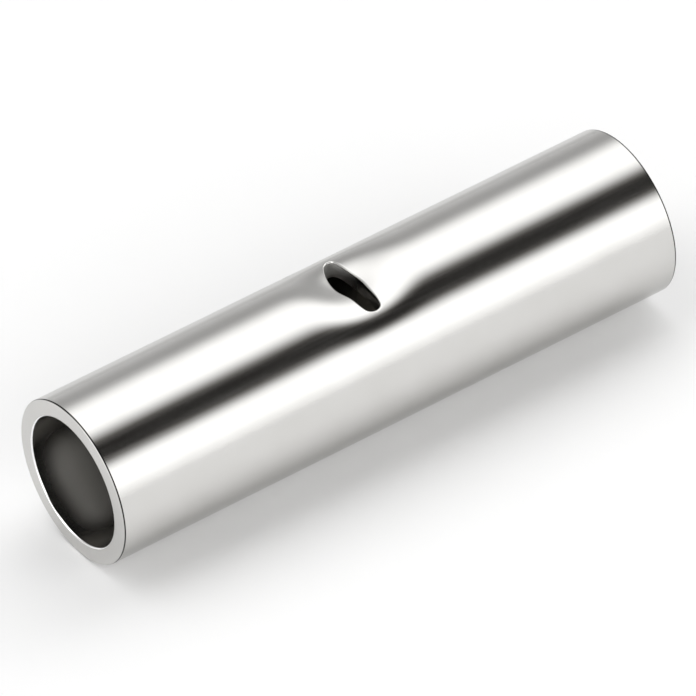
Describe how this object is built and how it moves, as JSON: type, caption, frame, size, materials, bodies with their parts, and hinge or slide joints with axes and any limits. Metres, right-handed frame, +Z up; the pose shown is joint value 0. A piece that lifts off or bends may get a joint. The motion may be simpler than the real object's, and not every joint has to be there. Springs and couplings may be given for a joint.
{
  "type": "butt splice connector",
  "caption": "Plain metal tube that joins two stranded wires end to end, with a pressed saddle at mid-length as a wire stop and an inspection window across it.",
  "frame": {"origin": "middle of the tube's axis, at the centre of its bounding box", "axes": "+X along the tube, +Y across it along the window, +Z up through the saddle and the window"},
  "size_m": [0.053, 0.014, 0.014],
  "materials": {
    "tin_plate": "bright tin plating on drawn copper, smooth, with softly blurred reflections"
  },
  "bodies": {
    "root": {"splice_tube": "tin_plate"}
  },
  "joints": []
}
